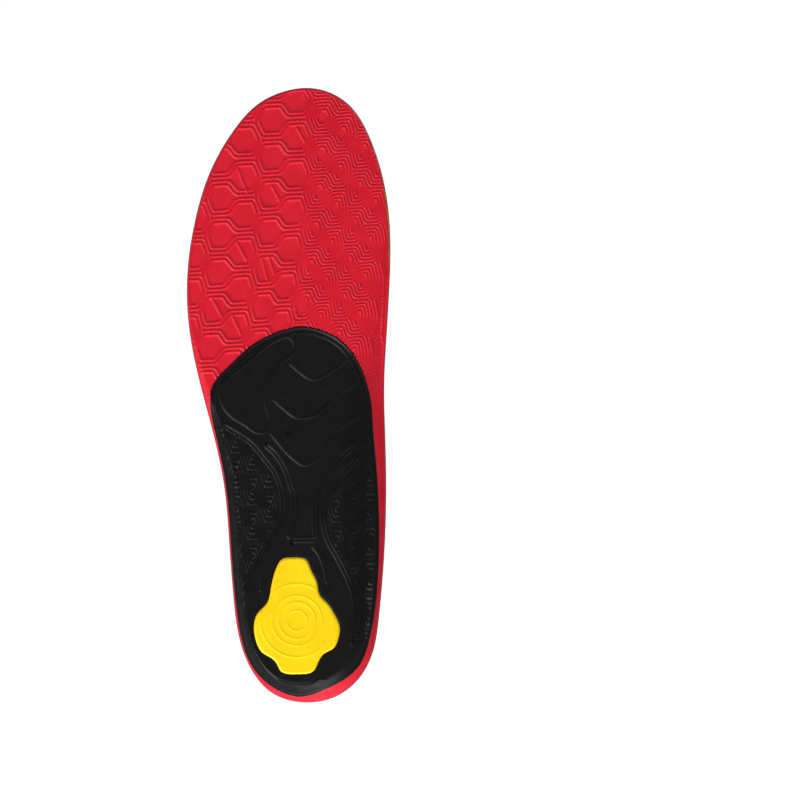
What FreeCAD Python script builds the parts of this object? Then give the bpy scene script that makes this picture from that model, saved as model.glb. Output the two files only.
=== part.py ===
import FreeCAD, Part
import math
import os
from collections import namedtuple

from FreeCAD import Placement, Rotation, Vector

# A cushioned insole for a right foot, sole side down, in millimetres. +Z points up to the foot, +Y to the toe
# and +X to the outer (lateral) side. The origin is under the middle of the insole, on the surface it lies on.

doc = FreeCAD.newDocument("CushionedInsole")
sheet = doc.addObject("Spreadsheet::Sheet", "Dimensions")

dimensions = {
    "insole_length": 277.0,
    "insole_width": 91.8,
    "heel_floor": 8.0,
    "toe_floor": 4.8,
    "rim_thickness": 3.4,
    "rim_land": 2.2,
    "wall_power": 1.8,
    "sole_wall_steps": 5,
    "foot_wall_steps": 4,
    "cover_thickness": 0.9,
    "cushion_thickness": 1.5,
    "shell_thickness": 1.5,
    "pad_height": 4.2,
    "pad_flange_width": 1.2,
    "pad_flange_height": 1.0,
    "window_clearance": 0.15,
    "gate_radius_front": 1.3,
    "gate_radius_rear": 1.1,
    "flex_place": 49.0,
    "flex_angle": 16.0,
    "flex_gap": 0.4,
    "cutter_height": 60.0,
    "cutter_depth": 10.0,
    "recess_height": 50.0,
    "recess_margin": 3.0,
}
for row, (alias, number) in enumerate(dimensions.items(), start=1):
    sheet.set(f"A{row}", alias)
    sheet.set(f"B{row}", str(number))
    sheet.setAlias(f"B{row}", alias)
doc.recompute()


def size(alias):
    return float(sheet.get(alias))


half_width = size("insole_width") / 2
half_length = size("insole_length") / 2
below_all = -size("cutter_depth")


def plan(across, along):
    # A point in plan, from fractions of the half width and of the half length.
    return Vector(across * half_width, along * half_length, 0)


# Stations round the rim, from the toe down the outer side to the heel and back up the inner side, each with
# its place across, place along, lift of the rim over the footbed's floor, plan width of the wall on the sole
# side, and plan width of the wall on the foot side.
Station = namedtuple("Station", "across along lift sole_run foot_run")
rim_stations = [
    (-0.174, 1.000, 0.0, 1.2, 5.0),
    (0.040, 0.989, 0.0, 1.2, 5.0),
    (0.290, 0.950, 0.0, 1.2, 5.0),
    (0.536, 0.863, 0.0, 1.2, 5.0),
    (0.762, 0.733, 0.0, 1.2, 5.0),
    (0.921, 0.563, 0.0, 1.2, 5.0),
    (0.996, 0.375, 0.0, 1.2, 5.0),
    (0.970, 0.206, 0.0, 1.6, 5.0),
    (0.863, 0.032, 0.6, 3.0, 7.0),
    (0.725, -0.144, 3.5, 5.0, 9.0),
    (0.630, -0.303, 5.6, 6.0, 10.0),
    (0.582, -0.491, 7.6, 6.0, 10.5),
    (0.545, -0.650, 9.2, 5.4, 10.5),
    (0.488, -0.787, 10.2, 5.2, 10.5),
    (0.381, -0.885, 10.8, 6.0, 11.0),
    (0.164, -0.969, 11.0, 8.0, 12.0),
    (-0.174, -1.000, 11.0, 10.0, 13.0),
    (-0.447, -0.983, 11.0, 10.0, 13.0),
    (-0.682, -0.925, 11.0, 10.0, 13.0),
    (-0.818, -0.845, 11.2, 11.0, 14.0),
    (-0.885, -0.729, 11.8, 13.0, 16.0),
    (-0.927, -0.578, 13.2, 17.0, 19.0),
    (-0.955, -0.389, 15.6, 22.0, 23.0),
    (-0.957, -0.242, 17.0, 25.0, 26.0),
    (-0.943, -0.072, 16.4, 25.0, 26.0),
    (-0.939, 0.036, 13.6, 23.0, 24.0),
    (-0.958, 0.173, 8.2, 18.0, 20.0),
    (-0.988, 0.343, 2.0, 9.0, 11.0),
    (-1.000, 0.490, 0.0, 3.0, 6.0),
    (-0.974, 0.621, 0.0, 1.2, 5.0),
    (-0.907, 0.733, 0.0, 1.2, 5.0),
    (-0.785, 0.848, 0.0, 1.2, 5.0),
    (-0.607, 0.941, 0.0, 1.2, 5.0),
    (-0.383, 0.988, 0.0, 1.2, 5.0),
]
stations = [Station(*row) for row in rim_stations]

shell_plan = [
    (0.754, 0.018),
    (0.695, 0.057),
    (0.577, 0.096),
    (0.460, 0.135),
    (0.303, 0.174),
    (0.059, 0.211),
    (-0.131, 0.223),
    (-0.325, 0.211),
    (-0.527, 0.174),
    (-0.636, 0.135),
    (-0.706, 0.096),
    (-0.754, 0.057),
    (-0.813, -0.021),
    (-0.832, -0.099),
    (-0.863, -0.217),
    (-0.891, -0.375),
    (-0.893, -0.505),
    (-0.871, -0.643),
    (-0.843, -0.722),
    (-0.793, -0.801),
    (-0.695, -0.881),
    (-0.577, -0.918),
    (-0.362, -0.957),
    (-0.109, -0.981),
    (0.126, -0.957),
    (0.279, -0.918),
    (0.370, -0.879),
    (0.462, -0.801),
    (0.505, -0.722),
    (0.534, -0.643),
    (0.553, -0.570),
    (0.580, -0.433),
    (0.619, -0.296),
    (0.660, -0.217),
    (0.712, -0.137),
    (0.754, -0.076),
    (0.771, -0.022),
]

pad_plan = [
    (-0.054, -0.524),
    (-0.170, -0.530),
    (-0.231, -0.568),
    (-0.310, -0.643),
    (-0.372, -0.668),
    (-0.452, -0.705),
    (-0.512, -0.757),
    (-0.498, -0.788),
    (-0.442, -0.824),
    (-0.356, -0.840),
    (-0.303, -0.864),
    (-0.254, -0.895),
    (-0.080, -0.908),
    (0.085, -0.895),
    (0.125, -0.870),
    (0.180, -0.853),
    (0.253, -0.839),
    (0.323, -0.800),
    (0.344, -0.766),
    (0.306, -0.706),
    (0.214, -0.672),
    (0.180, -0.630),
    (0.126, -0.561),
    (0.065, -0.530),
]

gate_front = plan(-0.005, -0.122)
gate_rear = plan(-0.034, -0.481)


def floor_height(along):
    # The footbed's floor is a plane that falls gently from the heel to the toe.
    share = (along + 1) / 2
    return size("heel_floor") + share * (size("toe_floor") - size("heel_floor"))


def rim_bottom(station):
    # Height of the rim's lower edge.
    return floor_height(station.along) + station.lift - size("rim_thickness")


def closed_curve(points, parameters=None):
    curve = Part.BSplineCurve()
    if parameters:
        curve.interpolate(Points=points, PeriodicFlag=True, Parameters=parameters)
    else:
        curve.interpolate(Points=points, PeriodicFlag=True)
    return curve


rim_points = [plan(station.across, station.along) for station in stations]
rim_parameters = [0.0]
for here, following in zip(rim_points, rim_points[1:] + rim_points[:1]):
    rim_parameters.append(rim_parameters[-1] + here.distanceToPoint(following))
rim_curve = closed_curve(rim_points, rim_parameters)


def inward(parameter):
    # The rim runs clockwise seen from above, so the inside is on the right of its tangent.
    tangent = rim_curve.tangent(parameter)[0]
    return Vector(tangent.y, -tangent.x, 0).normalize()


inward_normals = [inward(parameter) for parameter in rim_parameters[:-1]]


def ring(label, profile):
    # A closed curve round the insole: profile gives each station's inset from the rim, its height, and whether
    # that height is counted from the footbed's floor.
    points = []
    for station, point, normal in zip(stations, rim_points, inward_normals):
        inset, height, from_floor = profile(station)
        place = point + normal * inset
        if from_floor:
            height += floor_height(place.y / half_length)
        points.append(place + Vector(0, 0, height))
    feature = doc.addObject("Part::Feature", label)
    feature.Shape = Part.Wire(closed_curve(points, rim_parameters).toShape())
    return feature


def loft(label, profiles):
    solid = doc.addObject("Part::Loft", label)
    solid.Sections = [ring(f"{label}Ring{number}", profile) for number, profile in enumerate(profiles)]
    solid.Solid = True
    solid.Ruled = True
    return solid


def leaning(slope):
    # Sine and cosine of a wall's angle to the ground.
    steep = math.hypot(slope, 1)
    return slope / steep, 1 / steep


def sole_side(raised=0.0):
    # Rings of the sole side from the edge of its flat bottom out to the rim, or of the same surface raised into
    # the insole by a thickness. Each wall leaves the ground level and steepens up to the rim.
    power = size("wall_power")

    def wall(share):
        def profile(station):
            rim = rim_bottom(station)
            sine, cosine = leaning(rim * power * share ** (power - 1) / station.sole_run)
            inset = station.sole_run * (1 - share)
            height = rim * share**power
            if share == 1:
                return inset + raised, height, False
            return inset + raised * sine, height + raised * cosine, False

        return profile

    steps = int(size("sole_wall_steps"))
    return [wall(step / steps) for step in range(steps + 1)]


def foot_side(lowered=0.0):
    # Rings of the foot side from the edge of its floor out to the rim, or of the same surface lowered into the
    # insole by a thickness. The rim has a narrow level land on top.
    power = size("wall_power")
    land = size("rim_land")

    def wall(share):
        def profile(station):
            width = station.foot_run - land
            slope = station.lift * power * share ** (power - 1) / width
            sine, cosine = leaning(slope)
            inset = land + width * (1 - share)
            height = station.lift * share**power
            if share == 1:
                return inset - lowered * math.tan(math.atan(slope) / 2), height - lowered, True
            return inset - lowered * sine, height - lowered * cosine, True

        return profile

    def rim(station):
        return 0, station.lift - lowered, True

    steps = int(size("foot_wall_steps"))
    return [wall(step / steps) for step in range(steps + 1)] + [rim]


def layer(label, lower, upper):
    # One layer of the insole: up its lower surface to the rim and back down its upper surface.
    return loft(label, lower + upper[::-1])


def prism(label, curve, height, base=0.0, holes=()):
    # A closed flat curve, with closed curves left out of it as holes, raised to the height in a cell.
    outline = doc.addObject("Part::Feature", f"{label}Outline")
    wires = [Part.Wire(line.toShape()) for line in (curve, *holes)]
    outline.Shape = Part.Face(wires, "Part::FaceMakerBullseye")
    outline.Placement = Placement(Vector(0, 0, base), Rotation())
    solid = doc.addObject("Part::Extrusion", label)
    solid.Base = outline
    solid.DirMode = "Custom"
    solid.Dir = Vector(0, 0, 1)
    solid.Solid = True
    solid.setExpression("LengthFwd", height)
    return solid


def cut(label, base, tool):
    result = doc.addObject("Part::Cut", label)
    result.Base = base
    result.Tool = tool
    return result


def common(label, *shapes):
    result = doc.addObject("Part::MultiCommon", label)
    result.Shapes = list(shapes)
    return result


def plan_curve(points, grown=0.0):
    # A closed curve through points given in either direction round it, grown outward by a distance.
    curve = closed_curve(points)
    if not grown:
        return curve
    knots = [curve.parameter(point) for point in points]
    area = sum(a.x * b.y - b.x * a.y for a, b in zip(points, points[1:] + points[:1]))
    side = 1 if area > 0 else -1
    moved = []
    for point, knot in zip(points, knots):
        tangent = curve.tangent(knot)[0]
        moved.append(point + Vector(tangent.y, -tangent.x, 0).normalize() * grown * side)
    return closed_curve(moved)


def region(label, ahead):
    # A block that holds everything on one side of the flex line, half the gap away from it.
    block = doc.addObject("Part::Box", label)
    block.setExpression("Length", "Dimensions.insole_length")
    block.setExpression("Width", "Dimensions.insole_length")
    block.setExpression("Height", "Dimensions.cutter_height")
    turn = Rotation(Vector(0, 0, 1), -size("flex_angle"))
    near = size("flex_gap") / 2 if ahead else -size("flex_gap") / 2 - size("insole_length")
    corner = turn.multVec(Vector(-half_length, near, 0))
    block.Placement = Placement(Vector(0, size("flex_place"), below_all) + corner, turn)
    return block


def make_heel_pad():
    # A soft button that fills the shell's window, with a flange held between the shell and the foam.
    points = [plan(across, along) for across, along in pad_plan]
    button = prism("PadButton", plan_curve(points, -size("window_clearance")), "Dimensions.pad_height")
    flange_curve = plan_curve(points, size("pad_flange_width"))
    flange = prism("PadFlange", flange_curve, "Dimensions.pad_flange_height", size("shell_thickness"))
    pad = doc.addObject("Part::MultiFuse", "HeelPad")
    pad.Shapes = [button, flange]
    return pad


def make_shell_recess():
    # What the shell takes out of the foam: everything within its outline, up to its inner surface.
    margin = size("recess_margin")

    def outside(station):
        return -margin, rim_bottom(station), False

    def top(station):
        return -margin, size("cutter_height"), False

    over_shell = loft("OverShell", sole_side(size("shell_thickness")) + [outside, top])
    curve = plan_curve([plan(across, along) for across, along in shell_plan])
    return cut("ShellRecess", prism("ShellColumn", curve, "Dimensions.recess_height", below_all), over_shell)


def make_shell(skin):
    up = Vector(0, 0, 1)
    curve = plan_curve([plan(across, along) for across, along in shell_plan])
    holes = [
        plan_curve([plan(across, along) for across, along in pad_plan]),
        Part.Circle(gate_front, up, size("gate_radius_front")),
        Part.Circle(gate_rear, up, size("gate_radius_rear")),
    ]
    column = prism("ShellPrism", curve, "Dimensions.cutter_height", below_all, holes)
    return common("SupportShell", skin, column)


skin = layer("SoleSkin", sole_side(), sole_side(size("shell_thickness")))
support_shell = make_shell(skin)
heel_pad = make_heel_pad()

under_cover = size("cover_thickness")
under_cushion = under_cover + size("cushion_thickness")
cover = layer("Cover", foot_side(under_cover), foot_side())
cushion = layer("Cushion", foot_side(under_cushion), foot_side(under_cover))
foam_blank = layer("FoamBlank", sole_side(), foot_side(under_cushion))
foam = cut("Foam", cut("FoamOverShell", foam_blank, make_shell_recess()), heel_pad)

rear_region = region("RearRegion", ahead=False)
front_region = region("FrontRegion", ahead=True)
nodes = {"support_shell": support_shell, "heel_pad": heel_pad}
layers = {"foam_base": foam, "cushion_layer": cushion, "top_cover": cover}
for name, whole in layers.items():
    nodes[f"{name}_rear"] = common(f"{whole.Name}Rear", whole, rear_region)
    nodes[f"{name}_front"] = common(f"{whole.Name}Front", whole, front_region)
for label, node in nodes.items():
    node.Label = label
doc.recompute()

for item in doc.Objects:
    if "Invalid" in item.State or "Error" in item.State:
        raise RuntimeError(f"{item.Name} failed: {item.State}")
for label, node in nodes.items():
    shape = node.Shape
    if shape.isNull() or not shape.isValid() or len(shape.Solids) != 1:
        raise RuntimeError(f"{label} is not one valid solid: {len(shape.Solids)}")

os.makedirs("parts", exist_ok=True)
for label, node in nodes.items():
    node.Shape.Solids[0].exportStep(f"parts/{label}.step")
    box = node.Shape.BoundBox
    print(f"{label}: {node.Shape.Volume:.0f} mm3, z {box.ZMin:.2f} to {box.ZMax:.2f}")
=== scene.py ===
import math

import bpy
import numpy as np
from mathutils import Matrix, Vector
from mathutils.kdtree import KDTree


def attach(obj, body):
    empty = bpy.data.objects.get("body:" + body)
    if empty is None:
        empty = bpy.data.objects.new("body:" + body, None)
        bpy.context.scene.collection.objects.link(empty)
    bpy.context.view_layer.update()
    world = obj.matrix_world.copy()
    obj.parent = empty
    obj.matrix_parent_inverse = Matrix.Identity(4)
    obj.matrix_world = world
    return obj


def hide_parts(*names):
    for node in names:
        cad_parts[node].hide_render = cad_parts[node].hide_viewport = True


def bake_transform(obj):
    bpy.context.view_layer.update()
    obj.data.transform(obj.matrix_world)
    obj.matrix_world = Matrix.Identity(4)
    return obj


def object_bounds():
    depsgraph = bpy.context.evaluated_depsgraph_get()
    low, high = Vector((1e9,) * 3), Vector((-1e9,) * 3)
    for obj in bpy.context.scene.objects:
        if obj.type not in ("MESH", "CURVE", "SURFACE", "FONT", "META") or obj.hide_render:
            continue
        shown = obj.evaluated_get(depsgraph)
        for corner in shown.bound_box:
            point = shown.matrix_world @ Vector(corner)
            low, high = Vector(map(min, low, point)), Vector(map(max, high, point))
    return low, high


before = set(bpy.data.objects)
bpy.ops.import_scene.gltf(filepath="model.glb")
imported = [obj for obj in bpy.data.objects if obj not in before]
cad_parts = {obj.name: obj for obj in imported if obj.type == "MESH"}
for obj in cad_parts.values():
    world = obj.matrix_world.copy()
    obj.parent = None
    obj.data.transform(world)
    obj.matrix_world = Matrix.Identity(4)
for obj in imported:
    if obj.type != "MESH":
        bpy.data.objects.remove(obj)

mm = 0.001
farAlong = 400.0  # past the toe, in millimetres
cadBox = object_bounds()
halfWidth = (cadBox[1].x - cadBox[0].x) / 2
halfLength = (cadBox[1].y - cadBox[0].y) / 2

# The rim, from the toe down the outer side to the heel and back up the inner side: across and along as
# shares of the half width and half length, then the rim's lift over the footbed's floor and the walls'
# plan widths on the sole side and on the foot side, in millimetres.
insole = {
    "rim": [
        (-0.174, 1.000, 0.0, 1.2, 5.0),
        (0.040, 0.989, 0.0, 1.2, 5.0),
        (0.290, 0.950, 0.0, 1.2, 5.0),
        (0.536, 0.863, 0.0, 1.2, 5.0),
        (0.762, 0.733, 0.0, 1.2, 5.0),
        (0.921, 0.563, 0.0, 1.2, 5.0),
        (0.996, 0.375, 0.0, 1.2, 5.0),
        (0.970, 0.206, 0.0, 1.6, 5.0),
        (0.863, 0.032, 0.6, 3.0, 7.0),
        (0.725, -0.144, 3.5, 5.0, 9.0),
        (0.630, -0.303, 5.6, 6.0, 10.0),
        (0.582, -0.491, 7.6, 6.0, 10.5),
        (0.545, -0.650, 9.2, 5.4, 10.5),
        (0.488, -0.787, 10.2, 5.2, 10.5),
        (0.381, -0.885, 10.8, 6.0, 11.0),
        (0.164, -0.969, 11.0, 8.0, 12.0),
        (-0.174, -1.000, 11.0, 10.0, 13.0),
        (-0.447, -0.983, 11.0, 10.0, 13.0),
        (-0.682, -0.925, 11.0, 10.0, 13.0),
        (-0.818, -0.845, 11.2, 11.0, 14.0),
        (-0.885, -0.729, 11.8, 13.0, 16.0),
        (-0.927, -0.578, 13.2, 17.0, 19.0),
        (-0.955, -0.389, 15.6, 22.0, 23.0),
        (-0.957, -0.242, 17.0, 25.0, 26.0),
        (-0.943, -0.072, 16.4, 25.0, 26.0),
        (-0.939, 0.036, 13.6, 23.0, 24.0),
        (-0.958, 0.173, 8.2, 18.0, 20.0),
        (-0.988, 0.343, 2.0, 9.0, 11.0),
        (-1.000, 0.490, 0.0, 3.0, 6.0),
        (-0.974, 0.621, 0.0, 1.2, 5.0),
        (-0.907, 0.733, 0.0, 1.2, 5.0),
        (-0.785, 0.848, 0.0, 1.2, 5.0),
        (-0.607, 0.941, 0.0, 1.2, 5.0),
        (-0.383, 0.988, 0.0, 1.2, 5.0),
    ],
    "heelFloor": 8.0,
    "toeFloor": 4.8,
    "rimThickness": 3.4,
    "rimLand": 2.2,
    "wallPower": 1.8,
    "steepLimit": 1.5,
    "coverThickness": 0.9,
    "cushionThickness": 1.5,
}

# The distance between the points of each kind of line, in millimetres.
spacing = {"rim": 0.2, "shell": 0.2, "pad": 0.1, "mouldedLines": 0.15, "hexagons": 0.12}
# The distance, in metres, at which a grid's points merge, and the angle, in degrees, that stays smooth.
meshing = {"mergeDistance": 1e-6, "smoothAngle": 78}


def closedCurve(rows, step):
    # A smooth closed curve through rows of numbers, the first two of them its place, read every step.
    points = np.array(rows, float)
    count = len(points)
    ahead = np.roll(points, -1, 0)
    run = np.linalg.norm((ahead - points)[:, :2], axis=1)
    before = np.roll(run, 1)
    matrix = np.zeros((count, count))
    here = np.arange(count)
    matrix[here, here] = 2 * (before + run)
    matrix[here, here - 1] += before
    matrix[here, (here + 1) % count] += run
    slope = (ahead - points) / run[:, None]
    bend = np.linalg.solve(matrix, 6 * (slope - np.roll(slope, 1, 0)))
    pieces = []
    for i in range(count):
        j = (i + 1) % count
        t = np.arange(0, 1, step / run[i])[:, None]
        pull = ((1 - t) ** 3 - (1 - t)) * bend[i] + (t**3 - t) * bend[j]
        pieces.append((1 - t) * points[i] + t * points[j] + pull * run[i] ** 2 / 6)
    return np.concatenate(pieces)


def openCurve(rows, step):
    # A smooth line through places given in order, with its ends where they are.
    points = np.array(rows, float)
    padded = np.vstack([2 * points[0] - points[1], points, 2 * points[-1] - points[-2]])
    pieces = []
    for p, q, r, s in zip(padded, padded[1:], padded[2:], padded[3:]):
        t = np.arange(0, 1, step / max(np.linalg.norm(r - q), step))[:, None]
        pieces.append(0.5 * (2 * q + (r - p) * t + (2 * p - 5 * q + 4 * r - s) * t**2
                             + (3 * q - p - 3 * r + s) * t**3))
    return np.concatenate(pieces + [points[-1:]])


def treeOf(points):
    tree = KDTree(len(points))
    for i, (x, y) in enumerate(points):
        tree.insert((x, y, 0), i)
    tree.balance()
    return tree


def nearest(tree, x, y):
    found = [tree.find((a, b, 0)) for a, b in zip(x, y)]
    return np.array([f[2] for f in found]), np.array([f[1] for f in found])


def plan(across, along):
    # Millimetres from shares of the half width and half length.
    return across * halfWidth / mm, along * halfLength / mm


def smooth(value):
    value = np.clip(value, 0, 1)
    return value * value * (3 - 2 * value)


rimLine = closedCurve([plan(row[0], row[1]) + row[2:] for row in insole["rim"]], spacing["rim"])
rimTree = treeOf(rimLine[:, :2])


def rimInset(line, inset):
    # The closed line moved inwards by a distance at each of its points.
    along = np.roll(line[:, :2], -1, 0) - np.roll(line[:, :2], 1, 0)
    normal = np.stack([along[:, 1], -along[:, 0]], 1) / np.linalg.norm(along, axis=1)[:, None]
    return line[:, :2] + normal * np.broadcast_to(inset, len(line))[:, None]


def floorHeight(y):
    share = (y * mm / halfLength + 1) / 2
    return insole["heelFloor"] + share * (insole["toeFloor"] - insole["heelFloor"])


def soleHeight(x, y):
    # Height of the sole side, in millimetres.
    distance, index = nearest(rimTree, x, y)
    _, rimY, lift, run, _ = rimLine[index].T
    rim = floorHeight(rimY) + lift - insole["rimThickness"]
    return rim * np.clip(1 - distance / run, 0, 1) ** insole["wallPower"]


def footHeight(x, y, lowered=0.0):
    # Height of the foot side, or of the same surface lowered into the insole by a thickness.
    distance, index = nearest(rimTree, x, y)
    _, _, lift, _, run = rimLine[index].T
    land = insole["rimLand"]
    share = np.clip(1 - (distance - land) / (run - land), 0, 1)
    slope = lift * insole["wallPower"] * share ** (insole["wallPower"] - 1) / (run - land)
    steep = np.where(distance < land, 1, np.minimum(np.hypot(slope, 1), insole["steepLimit"]))
    return floorHeight(y) + lift * share ** insole["wallPower"] - lowered * steep


def rowEdges(line, rows):
    # The two sides of a closed line at each row, nearer the inner side first.
    top, bottom = line[:, 1].argmax(), line[:, 1].argmin()
    first = np.roll(line, -top, 0)
    split = (bottom - top) % len(line)
    down, up = first[: split + 1], np.vstack([first[split:], first[:1]])
    one = np.interp(rows, down[::-1, 1], down[::-1, 0])
    other = np.interp(rows, up[:, 1], up[:, 0])
    return np.minimum(one, other), np.maximum(one, other)


def spacedRows(line, zones):
    # Rows from the back of a line to its front, close together at both tips; zones are (up to, step).
    low, high = line[:, 1].min(), line[:, 1].max()
    tip = np.array([0, 0.006, 0.025, 0.06, 0.12, 0.2, 0.32, 0.5, 0.75, 1.05, 1.4])
    places = [low + tip]
    at = low + tip[-1]
    for end, step in zones:
        end = min(end, high - tip[-1])
        count = max(1, round((end - at) / step))
        places.append(np.linspace(at, end, count + 1)[1:])
        at = end
    places.append(high - tip[::-1][1:])
    return np.concatenate(places)


def shapedGrid(name, line, rows, columns, surface):
    # A grid laid over everything inside a closed line, with its points moved to a surface.
    bpy.ops.object.select_all(action="DESELECT")
    bpy.ops.mesh.primitive_grid_add(x_subdivisions=columns, y_subdivisions=len(rows) - 1, size=2)
    grid = bpy.context.object
    grid.name = name
    places = np.empty(len(grid.data.vertices) * 3, np.float32)
    grid.data.vertices.foreach_get("co", places)
    across, along, _ = places.reshape(-1, 3).T.astype(float)
    row = np.rint((along + 1) / 2 * (len(rows) - 1)).astype(int)
    low, high = rowEdges(line, rows)
    x = low[row] + (across + 1) / 2 * (high - low)[row]
    moved = np.stack(surface(x, rows[row]), 1) * mm
    grid.data.vertices.foreach_set("co", moved.astype(np.float32).ravel())
    grid.data.update()
    return grid


def joinedSlab(name, lower, upper):
    # The lower and upper surfaces become one closed piece, with a wall between their edges.
    for grid in (lower, upper):
        bpy.ops.object.select_all(action="DESELECT")
        grid.select_set(True)
        bpy.context.view_layer.objects.active = grid
        bpy.ops.object.mode_set(mode="EDIT")
        bpy.ops.mesh.select_all(action="SELECT")
        bpy.ops.mesh.remove_doubles(threshold=meshing["mergeDistance"])
        bpy.ops.object.mode_set(mode="OBJECT")
    lower.select_set(True)
    bpy.context.view_layer.objects.active = lower
    bpy.ops.object.join()
    bpy.ops.object.mode_set(mode="EDIT")
    bpy.ops.mesh.select_mode(type="EDGE")
    bpy.ops.mesh.select_all(action="DESELECT")
    bpy.ops.mesh.select_non_manifold()
    bpy.ops.mesh.bridge_edge_loops()
    bpy.ops.mesh.select_all(action="SELECT")
    bpy.ops.mesh.normals_make_consistent(inside=False)
    bpy.ops.mesh.select_mode(type="VERT")
    bpy.ops.object.mode_set(mode="OBJECT")
    bpy.ops.object.shade_smooth_by_angle(angle=math.radians(meshing["smoothAngle"]))
    lower.name = name
    return lower


def raisedBy(x, y, surface, height):
    # Points of a surface moved out along its normal, away from the insole's inside, by a height.
    step = 0.05
    z = surface(x, y)
    slopeX = (surface(x + step, y) - z) / step
    slopeY = (surface(x, y + step) - z) / step
    steep = np.sqrt(slopeX**2 + slopeY**2 + 1)
    return x + slopeX / steep * height, y + slopeY / steep * height, z - height / steep


def ridge(distance, width):
    # A rounded ridge, one high at no distance and flat beyond its half width.
    return np.where(np.abs(distance) < width, 0.5 + 0.5 * np.cos(np.pi * distance / width), 0)


# The moulded lines of the foam: columns of cells, each column a gentle line given by its place across at three
# places along, wound round in pairs by one line that goes out round the outer cells and back round the inner.
hexLines = {
    "alongPlaces": (126.0, 92.5, 42.0),
    "firstColumn": -1,
    "columns": [
        (54.0, 52.5, 55.0),
        (43.0, 41.5, 44.0),
        (31.5, 30.8, 33.3),
        (20.9, 19.4, 22.2),
        (6.6, 8.0, 11.3),
        (-3.0, -2.6, 2.3),
        (-16.2, -13.7, -7.6),
        (-24.3, -22.1, -14.8),
        (-35.5, -31.5, -24.6),
        (-44.0, -39.2, -32.0),
        (-53.0, -49.0, -42.0),
    ],
    "pitch": 16.8,
    "rowStart": 121.7,
    "columnRise": 0.7,
    "rows": (-8, 2),
    "middleRow": -3.0,
    "windings": (-1, 1, 3, 5, 7),
    "outerLinePitch": 1.8,
    "innerLinePitch": 1.48,
    "pitchChange": (-15.0, 0.0),
    "innerRings": 2,
    "innerRingsStart": -5.0,
    "innerRingsFade": 4.0,
    "patternEnd": -2.0,
    "patternFade": 4.0,
    "sideGap": 0.1,
    "cornerCut": 0.7,
    "ridgeShare": 0.44,
    "ridgeHeight": 0.52,
    "skinDrop": 0.56,
    "slashes": [
        [(22.7, 101.7), (18.6, 91.2)],
        [(23.1, 68.5), (19.0, 61.0)],
        [(25.3, 36.0), (21.6, 27.8)],
        [(7.4, 94.2), (4.1, 87.5)],
        [(11.9, 61.4), (9.3, 51.7)],
        [(8.9, 62.1), (6.3, 54.7)],
        [(-3.8, 120.3), (-7.2, 114.3)],
        [(34.7, 44.2), (29.4, 34.5)],
    ],
}


def linePitch(x):
    # The lines lie closer together towards the inner side.
    low, high = hexLines["pitchChange"]
    share = smooth((x - low) / (high - low))
    return hexLines["innerLinePitch"] + share * (hexLines["outerLinePitch"] - hexLines["innerLinePitch"])


def hexPlace(column, row):
    # Place in plan of a point in the pattern, from its column and its row, fractions allowed.
    index = np.clip(column - hexLines["firstColumn"], 0, len(hexLines["columns"]) - 1)
    y = hexLines["rowStart"] + row * hexLines["pitch"] + column * hexLines["columnRise"]
    lines = np.array(hexLines["columns"]).T
    a, b, c = (np.interp(index, np.arange(lines.shape[1]), line) for line in lines)
    p, q, r = hexLines["alongPlaces"]
    x = (a * (y - q) * (y - r) / ((p - q) * (p - r)) + b * (y - p) * (y - r) / ((q - p) * (q - r))
         + c * (y - p) * (y - q) / ((r - p) * (r - q)))
    return x, y


def cutCorners(points, cut):
    # Each corner cut off at a short distance, or at a third of a short side.
    ahead = points[1:] - points[:-1]
    length = np.linalg.norm(ahead, axis=1)[:, None]
    step = ahead / length * np.minimum(cut, length / 3)
    pairs = np.stack([points[:-1] + step, points[1:] - step], 1).reshape(-1, 2)
    return np.concatenate([points[:1], pairs, points[-1:]])


def hexWinding(column):
    # One line wound round the cells of a column and of the next, on its way down the forefoot.
    middleX, _ = hexPlace(column + 0.5, hexLines["middleRow"])
    wall = linePitch(middleX)
    gap = wall / hexLines["pitch"]
    side = hexLines["sideGap"] * wall / hexLines["outerLinePitch"]
    points = []
    for row in range(hexLines["rows"][1], hexLines["rows"][0], -1):
        points += [
            (column + 1 / 3, row + 0.5 - gap),
            (column - 1 / 3, row + 0.5 - gap),
            (column - 2 / 3 + side, row),
            (column - 1 / 3, row - 0.5 + gap),
            (column + 1 / 3, row - 0.5 + gap),
            (column + 2 / 3, row - gap),
            (column + 4 / 3, row - gap),
            (column + 5 / 3 - side, row - 0.5),
            (column + 4 / 3, row - 1 + gap),
            (column + 2 / 3, row - 1 + gap),
        ]
    x, y = hexPlace(*np.array(points).T)
    corners = cutCorners(np.stack([x, y], 1), hexLines["cornerCut"])
    return dense(corners, spacing["hexagons"])


def dense(points, step):
    # The same run of straight lines, with a point at every step.
    pieces = []
    for a, b in zip(points, points[1:]):
        count = max(1, math.ceil(np.linalg.norm(b - a) / step))
        pieces.append(a + (b - a) * np.arange(count)[:, None] / count)
    return np.concatenate(pieces)


hexTree = treeOf(np.concatenate([hexWinding(column) for column in hexLines["windings"]]))
slashes = [dense(np.array(slash), spacing["mouldedLines"]) for slash in hexLines["slashes"]]
slashTree = treeOf(np.concatenate(slashes))


def foamRelief(x, y):
    # Height of the hexagon lines and slashes, as a share of a ridge.
    distance, _ = nearest(hexTree, x, y)
    slash, _ = nearest(slashTree, x, y)
    pitch = linePitch(x)
    width = pitch * hexLines["ridgeShare"]
    height = np.maximum(ridge(distance - pitch / 2, width), ridge(slash, width))
    inner = smooth((hexLines["innerRingsStart"] - x) / hexLines["innerRingsFade"])
    for ring in range(1, hexLines["innerRings"] + 1):
        height = np.maximum(height, ridge(distance - (ring + 0.5) * pitch, width) * inner)
    return height * smooth((y - hexLines["patternEnd"]) / hexLines["patternFade"])


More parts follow.
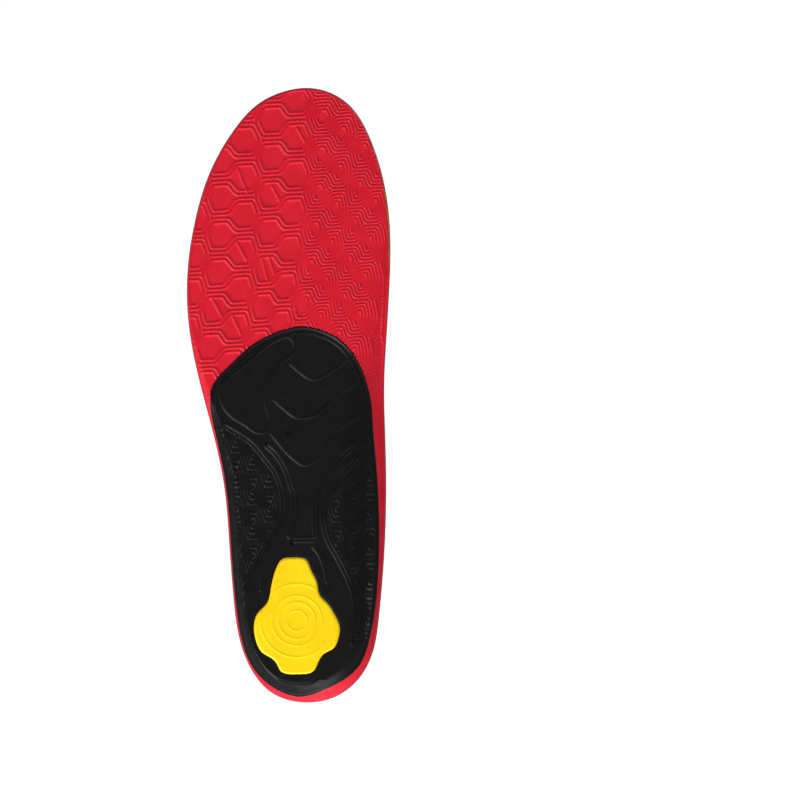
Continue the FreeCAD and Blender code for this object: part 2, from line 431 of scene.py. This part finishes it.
# The support shell: its edge and its gates as shares of the half width and half length, the gates with
# their radius, and the rest in millimetres.
shell = {
    "outline": [
        (0.754, 0.018),
        (0.695, 0.057),
        (0.577, 0.096),
        (0.460, 0.135),
        (0.303, 0.174),
        (0.059, 0.211),
        (-0.131, 0.223),
        (-0.325, 0.211),
        (-0.527, 0.174),
        (-0.636, 0.135),
        (-0.706, 0.096),
        (-0.754, 0.057),
        (-0.813, -0.021),
        (-0.832, -0.099),
        (-0.863, -0.217),
        (-0.891, -0.375),
        (-0.893, -0.505),
        (-0.871, -0.643),
        (-0.843, -0.722),
        (-0.793, -0.801),
        (-0.695, -0.881),
        (-0.577, -0.918),
        (-0.362, -0.957),
        (-0.109, -0.981),
        (0.126, -0.957),
        (0.279, -0.918),
        (0.370, -0.879),
        (0.462, -0.801),
        (0.505, -0.722),
        (0.534, -0.643),
        (0.553, -0.570),
        (0.580, -0.433),
        (0.619, -0.296),
        (0.660, -0.217),
        (0.712, -0.137),
        (0.754, -0.076),
        (0.771, -0.022),
    ],
    "thickness": 1.5,
    "beadStart": 0.2,
    "beadWidth": 1.2,
    "edgeRound": 0.35,
    "edgeDrop": 0.15,
    "windowRound": 0.5,
    "windowDrop": 0.25,
    "windowCut": (-3, 6),
    "gateDepth": 1.1,
    "gateCutter": 8,
    "rowStep": 0.41,
    "columns": 196,
    "backColumns": 16,
    "ridgeHeight": 0.52,
    "ridgeWidth": 0.65,
    "gates": [(-0.005, -0.122, 1.3), (-0.034, -0.481, 1.1)],
    "panel": [
        (-0.2, 26.1), (-2.5, 23.2), (-2.5, 19.4), (1.6, 16.0), (6.5, 10.4), (8.8, 5.9), (10.3, 0.2),
        (10.1, -5.4), (8.6, -9.9), (9.2, -14.4), (11.0, -16.7), (13.3, -16.9), (19.6, -13.3),
        (25.9, -9.2), (28.6, -6.1), (30.6, -2.0), (30.8, 1.4), (29.0, 5.2), (24.5, 9.7), (20.0, 13.3),
        (14.6, 18.2), (8.8, 22.7), (3.8, 25.4),
    ],
    "lines": [
        [(-0.7, 14.2), (-5.2, 10.4), (-8.6, 7.9), (-11.9, 7.2), (-16.0, 8.8), (-20.9, 11.9),
         (-28.8, 17.1)],
        [(6.5, -2.0), (1.6, -6.5), (-2.9, -9.7), (-7.4, -10.1), (-11.9, -9.0), (-16.4, -5.4),
         (-20.9, -1.6), (-25.0, 0.7), (-33.3, 6.5)],
        [(7.9, -17.3), (3.8, -22.3), (-0.7, -27.2), (-5.2, -30.8), (-7.9, -31.3), (-11.9, -29.5),
         (-14.6, -26.8), (-16.9, -22.7), (-22.0, -17.3), (-26.6, -13.3), (-34.4, -9.2)],
        [(-2.9, -64.1), (-11.5, -64.1)],
        [(-2.9, -65.7), (-11.5, -65.7)],
        [(3.4, -66.8), (6.7, -71.3), (10.1, -77.2), (11.9, -83.0), (12.4, -88.0)],
        [(-10.6, -67.7), (-13.7, -72.2), (-16.0, -78.1), (-17.3, -84.4)],
        [(4.7, -128.5), (1.1, -129.8), (-3.4, -130.7), (-10.1, -130.3), (-13.7, -128.0), (-16.9, -128.0)],
    ],
    "spine": [
        [(28.6, -13.7), (21.8, -17.8), (16.2, -21.8), (10.6, -28.6), (6.5, -34.0), (3.8, -40.3),
         (2.9, -44.3), (2.3, -50.9), (3.5, -57.4), (6.7, -63.7), (11.2, -71.3), (16.4, -79.9),
         (19.6, -87.5), (21.5, -93.8)],
        [(9.5, -22.7), (5.0, -27.2), (1.1, -34.0), (-1.1, -40.7), (-2.3, -44.3), (-2.6, -50.9), (-2.0, -56.5),
         (-0.4, -63.2)],
        [(-35.8, -20.5), (-28.8, -24.5), (-23.2, -29.5), (-18.7, -34.7), (-15.3, -40.3), (-13.3, -44.3),
         (-11.9, -50.9), (-11.8, -57.4), (-12.2, -63.2)],
        [(-30.4, -29.5), (-25.0, -35.8), (-20.9, -41.4), (-17.8, -45.7), (-15.8, -52.9), (-16.1, -59.2),
         (-18.4, -66.4), (-22.9, -74.5), (-26.8, -82.4), (-29.3, -89.3), (-30.8, -95.9), (-30.8, -102.4),
         (-29.3, -111.8)],
    ],
    "spineHalfGap": 0.8,
    "spineWidth": 0.585,
    "borderInset": 2.6,
    "borderHeight": 0.6,
    "borderStart": -10.0,
    "borderFade": 10.0,
    "bars": [-103.7, -105.5, -107.6, -109.4],
    "barSpan": (-37.1, -29.9),
    "cellStart": (16.2, -42.9),
    "cellPitch": 15.6,
    "cellSpread": 7.6,
    "cellRings": 3.4,
    "cellLineWidth": 0.55,
    "outerCells": (-94.0, -14.0),
    "innerCells": (-112.0, -30.0),
    "cellsFromSpine": 1.6,
    "cellsInset": 1.0,
    "cellsFade": 1.5,
}

# The heel pad: its outline as shares of the half width and half length, and the rest in millimetres.
pad = {
    "outline": [
        (-0.054, -0.524),
        (-0.170, -0.530),
        (-0.231, -0.568),
        (-0.284, -0.605),
        (-0.316, -0.648),
        (-0.372, -0.668),
        (-0.452, -0.705),
        (-0.512, -0.757),
        (-0.498, -0.788),
        (-0.442, -0.824),
        (-0.356, -0.840),
        (-0.303, -0.864),
        (-0.254, -0.895),
        (-0.080, -0.908),
        (0.085, -0.895),
        (0.125, -0.870),
        (0.180, -0.853),
        (0.253, -0.839),
        (0.323, -0.800),
        (0.344, -0.766),
        (0.306, -0.706),
        (0.214, -0.672),
        (0.180, -0.630),
        (0.126, -0.561),
        (0.065, -0.530),
    ],
    "clearance": 0.3,
    "height": 4.2,
    "edgeRound": 0.8,
    "edgeDrop": 0.5,
    "rowStep": 0.33,
    "columns": 130,
    "backColumns": 10,
    "ringCentre": (-3.8, -101.3),
    "rings": [4.6, 8.2, 11.2, 16.5],
    "ringInset": 0.8,
    "ridgeHeight": 0.15,
    "ridgeWidth": 0.8,
    "skinDrop": 0.18,
}

shellLine = closedCurve([plan(*row) for row in shell["outline"]], spacing["shell"])
shellTree = treeOf(shellLine)
padLine = closedCurve([plan(*row) for row in pad["outline"]], spacing["pad"])
padTree = treeOf(padLine)


def inside(line, x, y):
    # Whether each point is inside a closed line, by its row's edges.
    low, high = rowEdges(line, y)
    level = (y > line[:, 1].min()) & (y < line[:, 1].max())
    return level & (x > low) & (x < high)


def insetIn(line, tree, x, y):
    # How far inside a closed line each point is, below zero outside it.
    distance, _ = nearest(tree, x, y)
    return np.where(inside(line, x, y), distance, -distance)


def sideOf(line, x, y):
    # How far each point is to the outer side (+X) of a line that runs along the insole.
    order = np.argsort(line[:, 1])
    return x - np.interp(y, line[order, 1], line[order, 0])


spineLines = [openCurve(line, spacing["mouldedLines"]) for line in shell["spine"]]
plainLines = [openCurve(line, spacing["mouldedLines"]) for line in shell["lines"]]
plainLines.append(closedCurve(shell["panel"], spacing["mouldedLines"]))
for barAlong in shell["bars"]:
    ends = np.array([(across, barAlong) for across in shell["barSpan"]])
    plainLines.append(dense(ends, spacing["mouldedLines"]))
plainTree = treeOf(np.concatenate(plainLines))
spineTree = treeOf(np.concatenate(spineLines))


def cellLines(x, y):
    # Rings of six-sided lines round cells in staggered columns, all in the proportions of a cell.
    startX, startY = shell["cellStart"]
    reach, spread = shell["cellPitch"] / 2, shell["cellSpread"]
    lean = 1.5 * reach / spread
    steep = math.hypot(0.5, lean)
    column = np.rint((x - startX) / spread)
    share = np.full(len(x), np.inf)
    scale = np.full(len(x), reach)
    for side in (-1, 0, 1):
        at = column + side
        shift = np.where(at % 2 == 0, 0, reach)
        row = np.rint((y - startY - shift) / (2 * reach))
        acrossCell = np.abs(x - startX - at * spread)
        alongCell = np.abs(y - startY - shift - row * 2 * reach)
        sloped = (alongCell / 2 + lean * acrossCell) / reach
        level = alongCell / reach
        nearer = np.maximum(sloped, level) < share
        share = np.where(nearer, np.maximum(sloped, level), share)
        scale = np.where(nearer, np.where(sloped > level, reach / steep, reach), scale)
    rings = shell["cellRings"]
    away = np.abs((share * rings) % 1 - 0.5) * scale / rings
    return ridge(away, shell["cellLineWidth"])


def shellRelief(x, y):
    # Height of the shell's lines, spine, border and cells, as a share of a ridge.
    plain, _ = nearest(plainTree, x, y)
    spine, _ = nearest(spineTree, x, y)
    inset = insetIn(shellLine, shellTree, x, y)
    width = shell["ridgeWidth"]
    height = np.maximum(ridge(plain, width), ridge(spine - shell["spineHalfGap"], shell["spineWidth"]))
    border = ridge(inset - shell["borderInset"], width) * shell["borderHeight"]
    height = np.maximum(height, border * smooth((y - shell["borderStart"]) / shell["borderFade"]))
    fromSpine = shell["cellsFromSpine"]
    low, high = shell["outerCells"]
    outer = smooth(sideOf(spineLines[0], x, y) - fromSpine) * (y < high) * (y > low)
    low, high = shell["innerCells"]
    inner = smooth(-sideOf(spineLines[3], x, y) - fromSpine) * (y < high) * (y > low)
    cells = cellLines(x, y) * np.maximum(outer, inner)
    return np.maximum(height, cells * smooth((inset - shell["cellsInset"]) / shell["cellsFade"]))


# The foam base, in millimetres: its edge's inset, the plain band on the inner side's wall, the recess
# that takes the shell, and its grid.
foam = {
    "edgeInset": 0.3,
    "innerEdgeInset": 0.4,
    "innerEdgeSpan": (58.0, 94.0),
    "innerEdgeFades": (1.5, 8.0),
    "wallBandWidth": 2.2,
    "wallBandSpan": (20.0, 58.0),
    "wallBandFades": (8.0, 0.8),
    "wallBandStep": 0.45,
    "wallBandRim": 0.4,
    "wallBandEdge": 0.35,
    "wallShadeEdge": 0.3,
    "reliefEdge": 0.4,
    "plainRim": 0.7,
    "rimFade": 0.8,
    "recessStart": -0.35,
    "recessFade": 0.9,
    "recessGap": 0.1,
    "columns": 270,
    "topColumns": 24,
    "rowStep": 0.36,
    "rearEnd": -2,
    "rearRowStep": 1.6,
}


def spanShare(along, span, fades):
    # One within a span and none outside it, fading over a length after its start and round its end.
    start = smooth((along - span[0]) / fades[0])
    return start * smooth((span[1] + fades[1] / 2 - along) / fades[1])


def wallBand(x, y):
    # How far inside the plain band along the inner side's wall each point is, and its inset from the rim.
    inset, index = nearest(rimTree, x, y)
    share = spanShare(rimLine[index, 1], foam["wallBandSpan"], foam["wallBandFades"]) * (x < 0)
    return foam["wallBandWidth"] * share - inset, inset


def makeFoamBase():
    # The foam's edge shows inside the cover's, and further in along the inner side of the forefoot.
    share = spanShare(rimLine[:, 1], foam["innerEdgeSpan"], foam["innerEdgeFades"]) * (rimLine[:, 0] < 0)
    line = rimInset(rimLine, foam["edgeInset"] + foam["innerEdgeInset"] * share)
    rows = spacedRows(line, [(foam["rearEnd"], foam["rearRowStep"]), (farAlong, foam["rowStep"])])

    def sole(x, y):
        # Under the shell the foam starts behind the shell's own thickness.
        shellInset = insetIn(shellLine, shellTree, x, y)
        recess = smooth((shellInset - foam["recessStart"]) / foam["recessFade"])
        behind = recess * (shell["thickness"] + foam["recessGap"])
        band, inset = wallBand(x, y)
        marked = smooth((inset - foam["plainRim"]) / foam["rimFade"]) * smooth(-band / foam["reliefEdge"])
        step = smooth(band / foam["wallBandEdge"]) * smooth((inset - foam["wallBandRim"]) / foam["rimFade"])
        skin = foamRelief(x, y) * hexLines["ridgeHeight"] - hexLines["skinDrop"]
        return raisedBy(x, y, soleHeight, skin * marked - behind - step * foam["wallBandStep"])

    def top(x, y):
        return x, y, footHeight(x, y, insole["coverThickness"] + insole["cushionThickness"])

    lower = shapedGrid("foamSole", line, rows, foam["columns"], sole)
    upper = shapedGrid("foamTop", line, rows, foam["topColumns"], top)
    piece = joinedSlab("foamBase", lower, upper)
    # The wallShade attribute marks the plain band on the inner side's wall, where the foam material paints
    # shade.
    shade = piece.data.attributes.new("wallShade", "FLOAT", "POINT")
    x, y, _ = meshPlaces(piece)
    band, _ = wallBand(x, y)
    shade.data.foreach_set("value", smooth(band / foam["wallShadeEdge"]).astype(np.float32))
    return piece


def meshPlaces(piece):
    # A mesh's points, in millimetres.
    places = np.empty(len(piece.data.vertices) * 3, np.float32)
    piece.data.vertices.foreach_get("co", places)
    return places.reshape(-1, 3).T.astype(float) / mm


# The two layers over the foam base: the inset of their edge in millimetres, and their grids.
layers = {
    "cushion": {"inset": 0.3, "underColumns": 40, "overColumns": 40, "rowStep": 1.5},
    "cover": {"inset": 0.0, "underColumns": 60, "overColumns": 120, "rowStep": 1.0},
}


def makeLayer(name, under, over, layer):
    # A full-length layer between two depths under the foot side.
    line = rimInset(rimLine, layer["inset"])
    rows = spacedRows(line, [(farAlong, layer["rowStep"])])

    def back(x, y):
        return x, y, footHeight(x, y, under)

    def front(x, y):
        return x, y, footHeight(x, y, over)

    lower = shapedGrid(f"{name}Under", line, rows, layer["underColumns"], back)
    upper = shapedGrid(f"{name}Over", line, rows, layer["overColumns"], front)
    return joinedSlab(name, lower, upper)


def makeShell():
    rows = spacedRows(shellLine, [(farAlong, shell["rowStep"])])

    def sole(x, y):
        inset = insetIn(shellLine, shellTree, x, y)
        window, _ = nearest(padTree, x, y)
        edge = (1 - smooth(inset / shell["edgeRound"])) * shell["edgeDrop"]
        edge = np.maximum(edge, (1 - smooth(window / shell["windowRound"])) * shell["windowDrop"])
        bead = smooth((inset - shell["beadStart"]) / shell["beadWidth"])
        skin = (shellRelief(x, y) - 1) * shell["ridgeHeight"] * bead
        return raisedBy(x, y, soleHeight, skin - edge)

    def back(x, y):
        return raisedBy(x, y, soleHeight, np.full(len(x), -shell["thickness"]))

    lower = shapedGrid("shellSole", shellLine, rows, shell["columns"], sole)
    upper = shapedGrid("shellBack", shellLine, rows, shell["backColumns"], back)
    piece = joinedSlab("supportShell", lower, upper)
    cutters = [outlineBlock("windowCutter", padLine[::5], *shell["windowCut"])]
    depth = shell["gateCutter"]
    for across, along, radius in shell["gates"]:
        x, y = plan(across, along)
        middle = (x * mm, y * mm, (shell["gateDepth"] - depth / 2) * mm)
        bpy.ops.mesh.primitive_cylinder_add(radius=radius * mm, depth=depth * mm, location=middle)
        cutters.append(bpy.context.object)
    for cutter in cutters:
        cut = piece.modifiers.new("cut", "BOOLEAN")
        cut.object = cutter
        cut.solver = "EXACT"
        bpy.ops.object.select_all(action="DESELECT")
        bpy.context.view_layer.objects.active = piece
        bpy.ops.object.modifier_apply(modifier=cut.name)
        bpy.data.objects.remove(cutter)
    return piece


def outlineBlock(name, line, low, high):
    # A straight-sided block of an outline, from one height to another.
    bpy.ops.object.select_all(action="DESELECT")
    bpy.ops.mesh.primitive_circle_add(vertices=len(line), radius=1, fill_type="NGON")
    block = bpy.context.object
    block.name = name
    for vertex, (x, y) in zip(block.data.vertices, line):
        vertex.co = (x * mm, y * mm, low * mm)
    bpy.ops.object.mode_set(mode="EDIT")
    bpy.ops.mesh.select_all(action="SELECT")
    bpy.ops.mesh.extrude_region_move(TRANSFORM_OT_translate={"value": (0, 0, (high - low) * mm)})
    bpy.ops.mesh.select_all(action="SELECT")
    bpy.ops.mesh.normals_make_consistent(inside=False)
    bpy.ops.object.mode_set(mode="OBJECT")
    return block


def makeHeelPad():
    line = rimInset(padLine, pad["clearance"] * (1 if lineIsClockwise(padLine) else -1))
    tree = treeOf(line)
    rows = spacedRows(line, [(farAlong, pad["rowStep"])])
    centreX, centreY = pad["ringCentre"]

    def sole(x, y):
        away = np.hypot(x - centreX, y - centreY)
        inset, _ = nearest(tree, x, y)
        height = sum(ridge(away - radius, pad["ridgeWidth"]) for radius in pad["rings"])
        height = height * smooth((inset - pad["ringInset"]) / pad["edgeRound"])
        edge = (1 - smooth(inset / pad["edgeRound"])) * pad["edgeDrop"]
        return x, y, pad["skinDrop"] - height * pad["ridgeHeight"] + edge

    def back(x, y):
        return x, y, np.full(len(x), pad["height"])

    lower = shapedGrid("padSole", line, rows, pad["columns"], sole)
    upper = shapedGrid("padBack", line, rows, pad["backColumns"], back)
    return joinedSlab("heelPad", lower, upper)


def lineIsClockwise(line):
    ahead = np.roll(line, -1, 0)
    return (line[:, 0] * ahead[:, 1] - ahead[:, 0] * line[:, 1]).sum() < 0


def newMaterial(name, colour, roughness, specular=0.5):
    material = bpy.data.materials.new(name)
    material.use_nodes = True
    shader = material.node_tree.nodes["Principled BSDF"]
    shader.inputs["Base Color"].default_value = (*colour, 1)
    shader.inputs["Roughness"].default_value = roughness
    shader.inputs["Specular IOR Level"].default_value = specular
    return material, material.node_tree, shader


def addNode(tree, kind, **sockets):
    # A node with its own settings, or else its sockets, set by name.
    node = tree.nodes.new(kind)
    for key, value in sockets.items():
        if hasattr(node, key):
            setattr(node, key, value)
        else:
            node.inputs[key.replace("_", " ")].default_value = value
    return node


def grain(tree, shader, scale, strength, distance, detail=3.0):
    # Fine bumps all over a surface, at scale bumps to the metre.
    place = addNode(tree, "ShaderNodeTexCoord")
    noise = addNode(tree, "ShaderNodeTexNoise", Scale=scale, Detail=detail)
    bump = addNode(tree, "ShaderNodeBump", Strength=strength, Distance=distance)
    tree.links.new(place.outputs["Object"], noise.inputs["Vector"])
    tree.links.new(noise.outputs["Fac"], bump.inputs["Height"])
    tree.links.new(bump.outputs["Normal"], shader.inputs["Normal"])
    return place


def tinted(tree, shader, place, scale, dark, light, socket="Base Color"):
    # A slow change of colour over the surface.
    noise = addNode(tree, "ShaderNodeTexNoise", Scale=scale, Detail=2.0)
    ramp = addNode(tree, "ShaderNodeValToRGB")
    ramp.color_ramp.elements[0].color = (*dark, 1)
    ramp.color_ramp.elements[1].color = (*light, 1)
    ramp.color_ramp.elements[0].position = 0.35
    ramp.color_ramp.elements[1].position = 0.65
    tree.links.new(place.outputs["Object"], noise.inputs["Vector"])
    tree.links.new(noise.outputs["Fac"], ramp.inputs["Fac"])
    tree.links.new(ramp.outputs["Color"], shader.inputs[socket])
    return ramp


def foamMaterial():
    # The plain band along the inner side's wall is painted a deeper red than the moulded skin of the sole:
    # painted shade, standing in for the shade of a wall turned away from the light.
    material, tree, shader = newMaterial("redFoam", (0.67, 0.007, 0.024), 0.52, 0.22)
    place = grain(tree, shader, 2600, 0.25, 0.0003)
    skin = tinted(tree, shader, place, 90, (0.65, 0.006, 0.023), (0.71, 0.009, 0.029))
    shade = addNode(tree, "ShaderNodeAttribute", attribute_name="wallShade")
    mix = addNode(tree, "ShaderNodeMix", data_type="RGBA")
    startColour, paintedShadeColour, mixedColour = mix.inputs[6], mix.inputs[7], mix.outputs[2]
    # The painted shade colour, a deeper red laid on the band where the wall turns from the light.
    paintedShadeColour.default_value = (0.68, 0.005, 0.020, 1)
    tree.links.new(shade.outputs["Fac"], mix.inputs["Factor"])
    tree.links.new(skin.outputs["Color"], startColour)
    tree.links.new(mixedColour, shader.inputs["Base Color"])
    return material


def shellMaterial():
    material, tree, shader = newMaterial("blackPlastic", (0.003, 0.003, 0.0034), 0.44, 0.18)
    place = grain(tree, shader, 3200, 0.15, 0.0002)
    tinted(tree, shader, place, 160, (0.42,) * 3, (0.52,) * 3, "Roughness")
    return material


def padMaterial():
    material, tree, shader = newMaterial("yellowGel", (0.95, 0.66, 0.003), 0.4, 0.25)
    shader.inputs["Subsurface Weight"].default_value = 0.15
    shader.inputs["Subsurface Radius"].default_value = (0.004, 0.002, 0.0005)
    shader.inputs["Subsurface Scale"].default_value = 1.0
    place = grain(tree, shader, 1500, 0.08, 0.0002)
    tinted(tree, shader, place, 70, (0.94, 0.64, 0.002), (0.97, 0.69, 0.004))
    return material


def cushionMaterial():
    material, tree, shader = newMaterial("oliveFoam", (0.55, 0.42, 0.08), 0.8)
    place = grain(tree, shader, 1800, 0.5, 0.0004)
    tinted(tree, shader, place, 400, (0.50, 0.37, 0.06), (0.60, 0.47, 0.10))
    return material


def coverMaterial():
    material, tree, shader = newMaterial("darkKnit", (0.03, 0.03, 0.033), 0.85)
    shader.inputs["Sheen Weight"].default_value = 0.3
    shader.inputs["Sheen Roughness"].default_value = 0.5
    place = addNode(tree, "ShaderNodeTexCoord")
    loops = []
    for direction in ("X", "Y"):
        wave = addNode(tree, "ShaderNodeTexWave", Scale=420.0, Distortion=1.2, Detail=2.0)
        wave.bands_direction = direction
        tree.links.new(place.outputs["Object"], wave.inputs["Vector"])
        loops.append(wave)
    weave = addNode(tree, "ShaderNodeMath", operation="MULTIPLY")
    tree.links.new(loops[0].outputs["Fac"], weave.inputs[0])
    tree.links.new(loops[1].outputs["Fac"], weave.inputs[1])
    bump = addNode(tree, "ShaderNodeBump", Strength=0.7, Distance=0.0003)
    tree.links.new(weave.outputs["Value"], bump.inputs["Height"])
    tree.links.new(bump.outputs["Normal"], shader.inputs["Normal"])
    ramp = addNode(tree, "ShaderNodeValToRGB")
    ramp.color_ramp.elements[0].color = (0.016, 0.016, 0.018, 1)
    ramp.color_ramp.elements[1].color = (0.06, 0.06, 0.066, 1)
    tree.links.new(weave.outputs["Value"], ramp.inputs["Fac"])
    tree.links.new(ramp.outputs["Color"], shader.inputs["Base Color"])
    return material


def bendAtFlex(piece):
    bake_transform(piece)


foamBase = makeFoamBase()
print("foam base", len(foamBase.data.polygons))
underCover = insole["coverThickness"]
underCushion = underCover + insole["cushionThickness"]
cushionLayer = makeLayer("cushionLayer", underCushion, underCover, layers["cushion"])
print("cushion layer", len(cushionLayer.data.polygons))
topCover = makeLayer("topCover", underCover, 0.0, layers["cover"])
print("top cover", len(topCover.data.polygons))
supportShell = makeShell()
print("support shell", len(supportShell.data.polygons))
heelPad = makeHeelPad()
print("heel pad", len(heelPad.data.polygons))

for piece, slot, material in (
    (foamBase, "foam", foamMaterial()),
    (cushionLayer, "cushion", cushionMaterial()),
    (topCover, "cover", coverMaterial()),
    (supportShell, "shell", shellMaterial()),
    (heelPad, "pad", padMaterial()),
):
    piece.data.materials.clear()
    piece.data.materials.append(material)

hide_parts("foam_base_rear", "foam_base_front")
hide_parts("cushion_layer_rear", "cushion_layer_front")
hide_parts("top_cover_rear", "top_cover_front")
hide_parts("support_shell")
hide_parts("heel_pad")
for piece in (foamBase, cushionLayer, topCover):
    bendAtFlex(piece)
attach(supportShell, "rearfoot")
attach(heelPad, "rearfoot")
print("pieces ride on their bodies")

# The lights have a place, a size and a power each.
studio = {
    "cameraDistance": 6.0,
    "cameraAim": (-50.2, -2.0),
    "viewWidth": 0.36,
    "sensorWidth": 36,
    "farthestSeen": 50,
    "floorHeight": -8.0,
    "floorSize": 8.0,
    "backdropStrength": 1.0,
    "roomStrength": 0.28,
    "lights": [
        ((0.95, -1.2, -0.75), 0.8, 36),
        ((-0.35, -1.5, -0.15), 0.9, 18),
        ((-0.9, 0.9, -1.1), 1.2, 7),
        ((-0.7, 0.6, 1.4), 1.2, 22),
    ],
}


def makeCamera():
    # It looks straight up at the sole, with the toe at the top.
    bpy.ops.object.camera_add()
    camera = bpy.context.object
    x, y = studio["cameraAim"]
    camera.location = (x * mm, y * mm, -studio["cameraDistance"])
    camera.rotation_euler = (0, math.pi, 0)
    camera.data.sensor_width = studio["sensorWidth"]
    camera.data.lens = camera.data.sensor_width * studio["cameraDistance"] / studio["viewWidth"]
    camera.data.clip_end = studio["farthestSeen"]
    bpy.context.scene.camera = camera


def makeRoom():
    # The room shows white behind the insole and lights it softly from all round.
    world = bpy.data.worlds.new("paleRoom")
    bpy.context.scene.world = world
    world.use_nodes = True
    tree = world.node_tree
    room = tree.nodes["Background"]
    room.inputs["Color"].default_value = (1, 1, 1, 1)
    room.inputs["Strength"].default_value = studio["roomStrength"]
    backdrop = addNode(tree, "ShaderNodeBackground", Strength=studio["backdropStrength"])
    backdrop.inputs["Color"].default_value = (1, 1, 1, 1)
    seen = addNode(tree, "ShaderNodeLightPath")
    mix = addNode(tree, "ShaderNodeMixShader")
    tree.links.new(seen.outputs["Is Camera Ray"], mix.inputs["Fac"])
    tree.links.new(room.outputs["Background"], mix.inputs[1])
    tree.links.new(backdrop.outputs["Background"], mix.inputs[2])
    tree.links.new(mix.outputs["Shader"], tree.nodes["World Output"].inputs["Surface"])


def makeStudio():
    size = studio["floorSize"]
    bpy.ops.mesh.primitive_plane_add(size=size, location=(0, 0, studio["floorHeight"]))
    floor = bpy.context.object
    floor.name = "floor"
    material, _, _ = newMaterial("paleFloor", (0.9, 0.9, 0.9), 0.8)
    floor.data.materials.append(material)
    for place, size, power in studio["lights"]:
        bpy.ops.object.light_add(type="AREA", location=place)
        light = bpy.context.object
        light.data.size = size
        light.data.energy = power
        light.rotation_euler = Vector(place).to_track_quat("Z", "Y").to_euler()


makeRoom()
makeCamera()
makeStudio()
bpy.context.scene.view_settings.view_transform = "Standard"
print("camera and lights")
